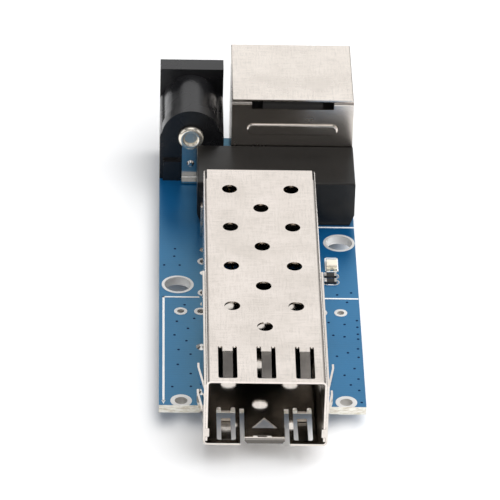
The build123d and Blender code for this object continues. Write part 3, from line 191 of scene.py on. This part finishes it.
def sheet_metal(name, bright, dull, roughness, relief, inside=None):
    """Bright plated sheet: fine rolling marks both ways, faint smudges.

    inside, where given, makes a factor that picks the faces lining a cavity, which get a painted shade
    colour.
    """
    material, shader = make_material(name, metallic=1.0)
    lengthwise = object_coordinates(material, (MARKS_ACROSS, MARKS_ALONG, MARKS_THROUGH))
    crosswise = object_coordinates(material, (MARKS_ALONG, MARKS_ACROSS, MARKS_THROUGH))
    along, across = noise(material, lengthwise, 1.0), noise(material, crosswise, 1.0)
    smudge = noise(material, object_coordinates(material), 160, 4, 0.6)
    marks = math_node(material, "ADD", along, across)
    cloudy = blend_colors(material, remap(material, smudge, 0, 1), bright, dull)
    scratched = tuple(SCRATCH_SHADE * value for value in dull)
    color = blend_colors(material, remap(material, marks, 0.4, 0, 0.8, 1.04), cloudy, scratched)
    if inside:
        # painted shade: the faces lining the cavity are blended to the darker cavity colour
        color = blend_colors(material, inside(material), color, CAVITY_SHADE_COLOR)
    connect(material, color, shader.inputs["Base Color"])
    uneven_gloss(material, shader, smudge, roughness)
    bump(material, shader, marks, relief, MARKS_DEPTH)
    return material


def cage_shade_mask(material):
    """1 on the faces that line the optics cage, 0 on its outer faces and front edges; it places painted
    shade in the cage.
    """
    coordinates = add_node(material, "ShaderNodeTexCoord")
    place = separate(material, coordinates.outputs["Object"])
    low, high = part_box("cage_cover")
    offset = math_node(material, "SUBTRACT", place["X"], (low.x + high.x) / 2)
    across = math_node(material, "ABSOLUTE", offset)
    within = math_node(material, "LESS_THAN", across, CAGE_INNER_HALF + SHEET / 2)
    under = math_node(material, "LESS_THAN", place["Z"], CAGE_TOP - SHEET / 2)
    behind = math_node(material, "GREATER_THAN", place["Y"], low.y + SHEET / 4)
    return math_node(material, "MULTIPLY", math_node(material, "MULTIPLY", within, under), behind)


def moulded_plastic(name, main, other, roughness, grain=2600, depth=0.25, sheen=0.5):
    """Moulding with a fine eroded grain and slightly uneven colour and gloss."""
    material, shader = make_material(name, specular_ior_level=sheen)
    grain_noise = noise(material, object_coordinates(material), grain, 3, 0.6)
    cloud = noise(material, object_coordinates(material), 210)
    color = blend_colors(material, remap(material, cloud, 0, 1), main, other)
    connect(material, color, shader.inputs["Base Color"])
    uneven_gloss(material, shader, cloud, roughness)
    bump(material, shader, grain_noise, depth, GRAIN_DEPTH)
    return material


def tinned_metal(name, bright, dull, roughness, ripple=900, relief=0.3, metallic=1.0):
    """Tin or solder: soft ripples, darker where it is dull."""
    material, shader = make_material(name, metallic=metallic)
    waves = noise(material, object_coordinates(material), ripple, 2)
    cloud = noise(material, object_coordinates(material), ripple / 3)
    color = blend_colors(material, remap(material, cloud, 0, 1), bright, dull)
    connect(material, color, shader.inputs["Base Color"])
    uneven_gloss(material, shader, waves, roughness, 0.7, 1.4)
    bump(material, shader, waves, relief, RIPPLE_DEPTH)
    return material


def outer_edge(material):
    """1 close to the board's outline, 0 elsewhere, such as on the walls of its holes."""
    coordinates = add_node(material, "ShaderNodeTexCoord")
    place = separate(material, coordinates.outputs["Object"])
    middle, half = (board_low + board_high) / 2, (board_high - board_low) / 2
    band = 0.1 * MM
    near = []
    for axis, centre, reach in (("X", middle.x, half.x), ("Y", middle.y, half.y)):
        distance = math_node(material, "ABSOLUTE", math_node(material, "SUBTRACT", place[axis], centre))
        near.append(math_node(material, "GREATER_THAN", distance, reach - band))
    return math_node(material, "MAXIMUM", *near)


def printed_board(name):
    """Blue solder mask over faint weave, with sawn cream edges and grey hole walls."""
    mask_colors = ((0.001, 0.060, 0.17), (0.003, 0.079, 0.215))
    thread_color = (0.004, 0.107, 0.28)
    sawn_colors = ((0.98, 0.96, 0.88), (0.68, 0.62, 0.50))
    hole_wall = (0.52, 0.50, 0.47)
    material, shader = make_material(name, ior=2.2, specular_tint=(0.31, 0.75, 1.0, 1))
    plain = object_coordinates(material)
    weave = add_node(material, "ShaderNodeTexWave", wave_type="BANDS", bands_direction="Y")
    weave.inputs["Scale"].default_value = 620
    weave.inputs["Distortion"].default_value = 1.2
    weave.inputs["Detail"].default_value = 2
    connect(material, plain, weave.inputs["Vector"])
    cloud = noise(material, plain, 130)
    mask = blend_colors(material, remap(material, cloud, 0, 1), *mask_colors)
    threads = remap(material, weave.outputs["Fac"], 0, 0.25, 0, 1)
    fine = blend_colors(material, threads, mask, thread_color)
    fibre = noise(material, object_coordinates(material, (700, 700, 3200)), 1.0, 4, 0.7)
    sawn = blend_colors(material, remap(material, fibre, 0, 1, 0.42, 0.62), *sawn_colors)
    edge = blend_colors(material, outer_edge(material), hole_wall, sawn)
    # Level faces carry the mask, upright ones are bare
    geometry = add_node(material, "ShaderNodeNewGeometry")
    flat = math_node(material, "ABSOLUTE", separate(material, geometry.outputs["Normal"])["Z"])
    color = blend_colors(material, remap(material, flat, 0, 1, 0.4, 0.6), edge, fine)
    connect(material, color, shader.inputs["Base Color"])
    connect(material, remap(material, flat, 0.75, 0.3, 0.4, 0.6), shader.inputs["Roughness"])
    connect(material, remap(material, flat, 0.05, 0.7, 0.4, 0.6), shader.inputs["Specular IOR Level"])
    bump(material, shader, fibre, 0.3, FIBRE_DEPTH)
    return material


# Materials: metals, by name, two colours, roughness and texture
cage_metal = sheet_metal(
    "cage_metal", (0.90, 0.825, 0.765), (0.84, 0.77, 0.705), 0.2, 0.05, cage_shade_mask
)
floor_metal = sheet_metal("cage_floor_metal", (0.82, 0.765, 0.71), (0.78, 0.72, 0.66), 0.045, 0.05)
shield_metal = sheet_metal("shield_metal", (0.95, 0.88, 0.81), (0.91, 0.84, 0.77), 0.24, 0.02)
rivet_metal = tinned_metal(
    "rivet_metal", (1.0, 0.94, 0.82), (0.92, 0.86, 0.75), 0.2, 400, 0.3, 0.85
)
tin = tinned_metal("tin", (0.86, 0.85, 0.82), (0.62, 0.6, 0.57), 0.25)
strip_metal = tinned_metal("strip_metal", (0.86, 0.85, 0.83), (0.78, 0.77, 0.75), 0.16, 300, 0.05)
plating = tinned_metal(
    "hole_plating", (0.86, 0.85, 0.83), (0.8, 0.79, 0.77), 0.4, 300, 0.05, 0.5
)
solder = tinned_metal("solder", (0.74, 0.73, 0.70), (0.42, 0.41, 0.38), 0.1, 1500)
gold = tinned_metal("gold_contact", (0.9, 0.66, 0.28), (0.75, 0.5, 0.18), 0.22)
copper = tinned_metal("copper", (0.72, 0.33, 0.14), (0.45, 0.18, 0.07), 0.3, 2500)

# Materials: mouldings, ceramics and prints
jack_plastic = moulded_plastic("jack_plastic", (0.007, 0.007, 0.008), (0.013, 0.013, 0.014), 0.26)
connector_plastic = moulded_plastic(
    "connector_plastic", (0.012, 0.012, 0.012), (0.022, 0.021, 0.02), 0.5
)
epoxy = moulded_plastic(
    "moulding_compound", (0.006, 0.0054, 0.0048), (0.011, 0.010, 0.009), 0.36, 3400, 0.4
)
chip_epoxy = moulded_plastic("chip_black", (0.016, 0.016, 0.017), (0.03, 0.03, 0.03), 0.5, 4200, 0.4)
ferrite = moulded_plastic("ferrite", (0.05, 0.05, 0.052), (0.09, 0.088, 0.085), 0.55, 3000, 0.6)
ceramic = moulded_plastic("ceramic", (0.42, 0.32, 0.22), (0.55, 0.43, 0.31), 0.45, 3000, 0.2)
lamp_base = moulded_plastic("lamp_base", (0.78, 0.75, 0.64), (0.66, 0.62, 0.5), 0.5, 3000, 0.2)
lamp_lens = moulded_plastic("lamp_lens", (0.9, 0.88, 0.8), (0.84, 0.77, 0.64), 0.2, 1200, 0.1)
laminate = printed_board("laminate")
ink = moulded_plastic("printed_white", (0.95, 0.95, 0.93), (0.85, 0.86, 0.85), 0.6, 5200, 0.4)
via_mask = moulded_plastic(
    "via_mask", (0.001, 0.012, 0.045), (0.002, 0.018, 0.065), 0.5, 3000, 0.2, 0.12
)

slots = {
    "laminate": laminate,
    "tin": tin,
    "solder": solder,
    "cage_metal": cage_metal,
    "shield_metal": shield_metal,
    "connector_plastic": connector_plastic,
    "gold_contact": gold,
    "jack_plastic": jack_plastic,
    "moulding_compound": epoxy,
    "lamp_base": lamp_base,
    "lamp_lens": lamp_lens,
    "chip_black": chip_epoxy,
    "ceramic": ceramic,
    "ferrite": ferrite,
    "copper": copper,
}
# Pieces whose metal looks different from the rest of their slot
own_metals = {
    "cage_base": floor_metal,
    "latch_tongue": floor_metal,
    "jack_centre_pin": rivet_metal,
    "jack_pin_terminal": strip_metal,
    "plated_rings": plating,
}
for entry in frame["record"]["subparts"]:
    piece_materials = nodes[entry["node"]].data.materials
    piece_materials.clear()
    piece_materials.append(own_metals.get(entry["node"], slots[entry["material_slot"]]))


# Pieces: helpers

def finish_piece(name, mesh, material, body="converter"):
    """Turns a bmesh into an object that rides on a body."""
    data = bpy.data.meshes.new(name)
    bmesh.ops.recalc_face_normals(mesh, faces=mesh.faces)
    mesh.to_mesh(data)
    mesh.free()
    data.materials.append(material)
    piece = bpy.data.objects.new(name, data)
    bpy.context.scene.collection.objects.link(piece)
    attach(piece, body)


def add_prism(mesh, outline, low, high):
    """A closed prism over an outline of (x, y) points."""
    bottom = [mesh.verts.new((x, y, low)) for x, y in outline]
    top = [mesh.verts.new((x, y, high)) for x, y in outline]
    mesh.faces.new(bottom[::-1])
    mesh.faces.new(top)
    count = len(outline)
    for i in range(count):
        j = (i + 1) % count
        mesh.faces.new((bottom[i], bottom[j], top[j], top[i]))


def circle_points(x, y, radius, count, first=0.0, turn=2 * pi):
    """Points on an arc with both its ends, or on a whole circle without a repeat."""
    steps = count if turn == 2 * pi else count - 1
    angles = [first + turn * i / steps for i in range(count)]
    return [(x + radius * cos(angle), y + radius * sin(angle)) for angle in angles]


def on_board(x, row):
    """Millimetres across and behind the board's front edge, to metres."""
    return x * MM, board_front + row * MM


# White printing on the board, in millimetres across and behind its front edge
INK_LOW, INK_HIGH = board_top - 0.01 * MM, board_top + 0.025 * MM
LINE = 0.27 * MM
THIN_LINE = 0.16 * MM
printed = bmesh.new()


def print_line(start, stop, width):
    """A straight printed line between two (x, row) points, with square ends."""
    start, stop = Vector(on_board(*start)), Vector(on_board(*stop))
    along = (stop - start).normalized() * width / 2
    side = Vector((-along.y, along.x))
    a, b = start - along, stop + along
    outline = [tuple(a - side), tuple(b - side), tuple(b + side), tuple(a + side)]
    add_prism(printed, outline, INK_LOW, INK_HIGH)


# Lines that mark off the cage, with an arrow at the front end of the long one
cross_row = 24.2
rear_row = 41.2
long_x = -12.18
long_front = 0.9
arrow_half, arrow_tip, arrow_foot = 0.25, 0.25, 1.0
print_line((long_x, cross_row), (-7.75, cross_row), LINE)
print_line((7.9, cross_row), (12.55, cross_row), LINE)
print_line((long_x, cross_row), (long_x, long_front), LINE)
arrow = [
    on_board(long_x - arrow_half, arrow_foot),
    on_board(long_x, arrow_tip),
    on_board(long_x + arrow_half, arrow_foot),
]
add_prism(printed, arrow, INK_LOW, INK_HIGH)
print_line((7.95, rear_row), (12.6, rear_row), LINE)

# Frame round the status light
lamp_low, lamp_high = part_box("status_led_base")
lamp_margin, lamp_rear_margin = 0.1 * MM, 0.9 * MM
frame_x = [side / MM for side in (lamp_low.x - lamp_margin, lamp_high.x + lamp_margin)]
frame_ends = (lamp_low.y - lamp_margin, lamp_high.y + lamp_rear_margin)
frame_rows = [(end - board_front) / MM for end in frame_ends]
for row in frame_rows:
    print_line((frame_x[0], row), (frame_x[1], row), THIN_LINE)
for x in frame_x:
    print_line((x, frame_rows[0]), (x, frame_rows[1]), THIN_LINE)

# Round-ended frames about the two chip resistors
caps_low, caps_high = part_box("resistor_caps")
resistor_half = 0.4
end_radius, end_offset, end_points = 0.62, 0.45, 9
row_step = (caps_high.y - caps_low.y) / MM - 2 * resistor_half
first_row = (caps_low.y - board_front) / MM + resistor_half
frame_middle = (caps_low.x + caps_high.x) / 2 / MM
for row in (first_row, first_row + row_step):
    for side in (-1, 1):
        end_x = frame_middle + side * end_offset
        arc = circle_points(end_x, row, end_radius, end_points, -side * pi / 2, pi)
        for a, b in zip(arc, arc[1:]):
            print_line(a, b, THIN_LINE)
    for offset in (-end_radius, end_radius):
        start, stop = ((frame_middle + side * end_offset, row + offset) for side in (-1, 1))
        print_line(start, stop, THIN_LINE)
finish_piece("board_printing", printed, ink)

# Tented vias: small dots of darker mask on both faces
via_places = (
    (-10.5, 18.6), (-9.1, 17.0), (-10.8, 15.5), (-9.3, 14.2), (-10.3, 12.2), (-8.8, 11.2),
    (-10.4, 8.9), (-8.8, 6.9), (-11.1, 4.0), (-8.8, 4.1), (-9.5, 22.4), (-8.3, 19.3),
    (8.7, 18.7), (10.7, 18.3), (12.3, 19.2), (12.3, 17.7), (9.2, 15.8), (10.6, 15.5),
    (12.3, 16.1), (12.3, 15.0), (8.3, 13.1), (10.9, 11.9), (12.2, 12.8), (9.5, 11.1),
    (12.2, 10.9), (11.6, 8.4), (12.0, 6.1), (10.3, 6.9), (11.0, 4.8), (12.0, 3.6),
    (12.2, 1.0), (-10.7, 35.6), (-10.8, 33.8), (-12.1, 31.7), (-10.1, 31.7), (10.0, 25.1),
    (11.8, 25.6), (11.2, 23.4),
)
via_radius, via_sides = 0.17 * MM, 12
via_sunk, via_rise = 0.01 * MM, 0.012 * MM
vias = bmesh.new()
for x, row in via_places:
    outline = circle_points(*on_board(x, row), via_radius, via_sides)
    add_prism(vias, outline, board_top - via_sunk, board_top + via_rise)
    add_prism(vias, outline, board_under - via_rise, board_under + via_sunk)
finish_piece("tented_vias", vias, via_mask)

# Plated walls inside the mounting holes
sleeve_sides = 72
sleeve_outside, sleeve_inside, sleeve_rise = 0.04 * MM, 0.06 * MM, 0.045 * MM
low, high = board_under - sleeve_rise, board_top + sleeve_rise
sleeves = bmesh.new()
for mount in frame["record"]["mounts"]:
    if mount["kind"] != "bore":
        continue
    x, y, _ = mount["pos_m"]
    hole = mount["dims"]["r_mm"] * MM
    outer, inner = hole + sleeve_outside, hole - sleeve_inside
    rings = []
    for radius, z in ((inner, low), (inner, high), (outer, high), (outer, low)):
        points = circle_points(x, y, radius, sleeve_sides)
        rings.append([sleeves.verts.new((px, py, z)) for px, py in points])
    for first, second in zip(rings, rings[1:] + rings[:1]):
        for i in range(sleeve_sides):
            j = (i + 1) % sleeve_sides
            sleeves.faces.new((first[i], first[j], second[j], second[i])).smooth = True
    for ring in rings:
        for i in range(sleeve_sides):
            sleeves.edges.get((ring[i], ring[(i + 1) % sleeve_sides])).smooth = False
finish_piece("hole_sleeves", sleeves, plating)


# Studio: floor
floor_reach, floor_depth, floor_glow = 3.0, 0.01, 0.06
floor_mesh = bmesh.new()
corners = [(x * floor_reach, y * floor_reach) for x, y in ((-1, -1), (1, -1), (1, 1), (-1, 1))]
add_prism(floor_mesh, corners, -floor_depth, 0.0)
floor_data = bpy.data.meshes.new("studio_floor")
floor_mesh.to_mesh(floor_data)
floor_mesh.free()
floor = bpy.data.objects.new("studio_floor", floor_data)
bpy.context.scene.collection.objects.link(floor)
floor_material, floor_shader = make_material(
    "floor_paper", roughness=0.9, base_color=(0.93, 0.93, 0.935, 1), emission_color=(1, 1, 1, 1)
)
light_path = add_node(floor_material, "ShaderNodeLightPath")
glow = math_node(floor_material, "MULTIPLY", light_path.outputs["Is Camera Ray"], floor_glow)
connect(floor_material, glow, floor_shader.inputs["Emission Strength"])
floor_data.materials.append(floor_material)


def add_area(name, place, size, power):
    """A softbox aimed at the origin that lights the pieces but isn't mirrored in them."""
    data = bpy.data.lights.new(name, "AREA")
    data.shape = "RECTANGLE"
    data.size, data.size_y = size
    data.energy = power
    lamp = bpy.data.objects.new(name, data)
    bpy.context.scene.collection.objects.link(lamp)
    lamp.location = place
    lamp.rotation_mode = "QUATERNION"
    lamp.rotation_quaternion = (-Vector(place)).to_track_quat("-Z", "Y")
    lamp.visible_glossy = False


# Studio: lamps
add_area("key_softbox", (0.26, -0.08, 0.74), (1.3, 1.1), 10.6)
add_area("fill_softbox", (0.1, -0.5, 0.5), (0.5, 0.4), 0.9)

# Studio: world, with a dim part that lights, a bright part that is mirrored, and white seen
world = bpy.data.worlds.new("studio")
bpy.context.scene.world = world
world.use_nodes = True
background = world.node_tree.nodes["Background"]
background.inputs["Color"].default_value = (0.95, 0.97, 1.0, 1)
background.inputs["Strength"].default_value = 0.22
direction = separate(world, add_node(world, "ShaderNodeTexCoord").outputs["Generated"])
# Mirrored levels by height: dark below, a bright backdrop, a dark gap and a bright ceiling
heights = (
    (0.0, 0.2), (0.10, 0.2), (0.2, 1.0), (0.64, 1.0), (0.71, 0.05), (0.82, 0.05), (0.87, 1.0), (1.0, 1.0),
)
# The backdrop ends at both sides, with side panels further out
sides = ((0.0, 1.0), (0.27, 1.0), (0.36, 0.35), (0.6, 0.35), (0.72, 0.7), (1.0, 0.7))
panels = grey_ramp(world, math_node(world, "ABSOLUTE", direction["X"]), sides)
# The room behind the camera is darker than the backdrop
ahead = remap(world, direction["Y"], 0.18, 1.0, -0.95, -0.6)
mirrored = add_node(world, "ShaderNodeBackground")
connect(world, grey_ramp(world, direction["Z"], heights), mirrored.inputs["Color"])
connect(world, math_node(world, "MULTIPLY", ahead, panels), mirrored.inputs["Strength"])
white = add_node(world, "ShaderNodeBackground")
white.inputs["Color"].default_value = (1, 1, 1, 1)
path = add_node(world, "ShaderNodeLightPath").outputs
reflected = math_node(world, "MAXIMUM", path["Is Glossy Ray"], path["Is Transmission Ray"])
lighting = mix_shaders(world, reflected, background.outputs[0], mirrored.outputs[0])
surface = mix_shaders(world, path["Is Camera Ray"], lighting, white.outputs[0])
connect(world, surface, world.node_tree.nodes["World Output"].inputs["Surface"])

# Camera at the photograph's viewing angle
yaw, pitch, roll = radians(1.88), radians(32.581), radians(1.697)
forward = Vector((sin(yaw) * cos(pitch), cos(yaw) * cos(pitch), -sin(pitch)))
right = Vector((cos(yaw), -sin(yaw), 0))
up = right.cross(forward)
camera_right = cos(roll) * right + sin(roll) * up
camera_up = -sin(roll) * right + cos(roll) * up
camera_place = Vector((-16.126, -454.857, 298.436)) * MM
camera_data = bpy.data.cameras.new("camera")
camera_data.lens = 304.3
camera_data.sensor_width = 36
camera_data.clip_start, camera_data.clip_end = 0.05, 20
camera = bpy.data.objects.new("camera", camera_data)
bpy.context.scene.collection.objects.link(camera)
axes = Matrix((camera_right, camera_up, -forward)).transposed()
camera.matrix_world = Matrix.Translation(camera_place) @ axes.to_4x4()
bpy.context.scene.camera = camera

bpy.context.scene.view_settings.view_transform = "Standard"
